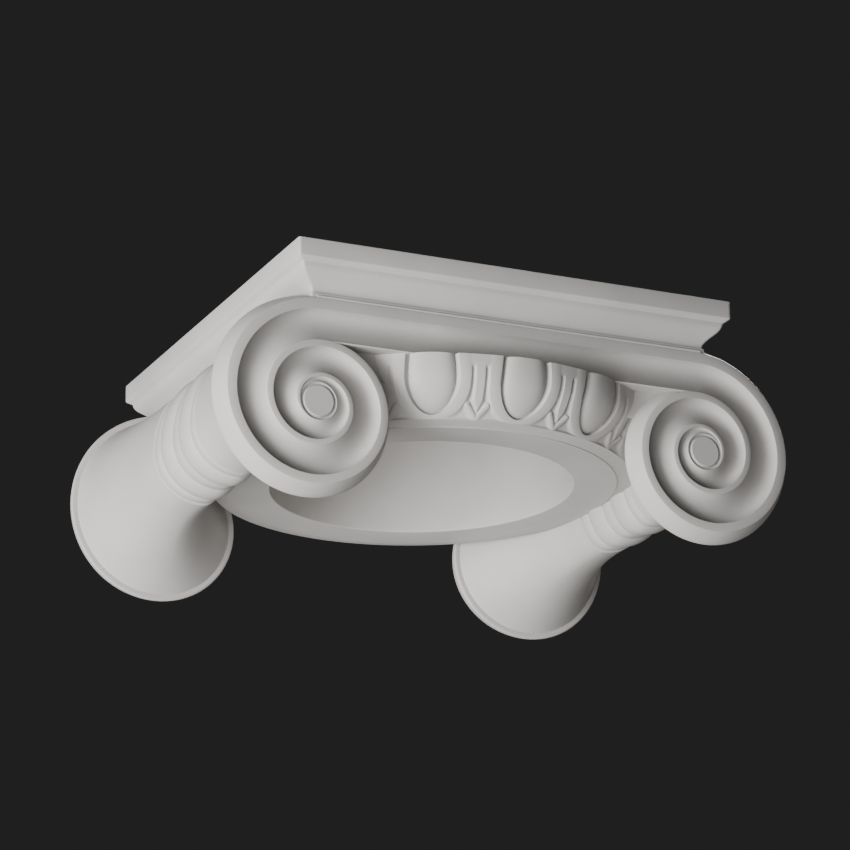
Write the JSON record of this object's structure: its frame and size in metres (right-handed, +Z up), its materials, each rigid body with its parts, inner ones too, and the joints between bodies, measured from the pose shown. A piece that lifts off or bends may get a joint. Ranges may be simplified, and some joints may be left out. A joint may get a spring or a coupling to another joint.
{
  "type": "ionic column capital",
  "caption": "Ionic column capital: square moulded abacus, paired volute scrolls on banded bolsters, egg-and-dart ring and a round socket below that takes a shaft's neck.",
  "frame": {"origin": "on the floor plane, under the middle of the abacus", "axes": "+Z up through the abacus, volute faces toward -Y and +Y, bolsters along Y, +X to the right seen from the front"},
  "size_m": [0.493, 0.3922, 0.1958],
  "materials": {
    "primer": "matt sprayed primer on rigid moulded foam"
  },
  "bodies": {
    "root": {"capital": "primer"}
  },
  "joints": []
}
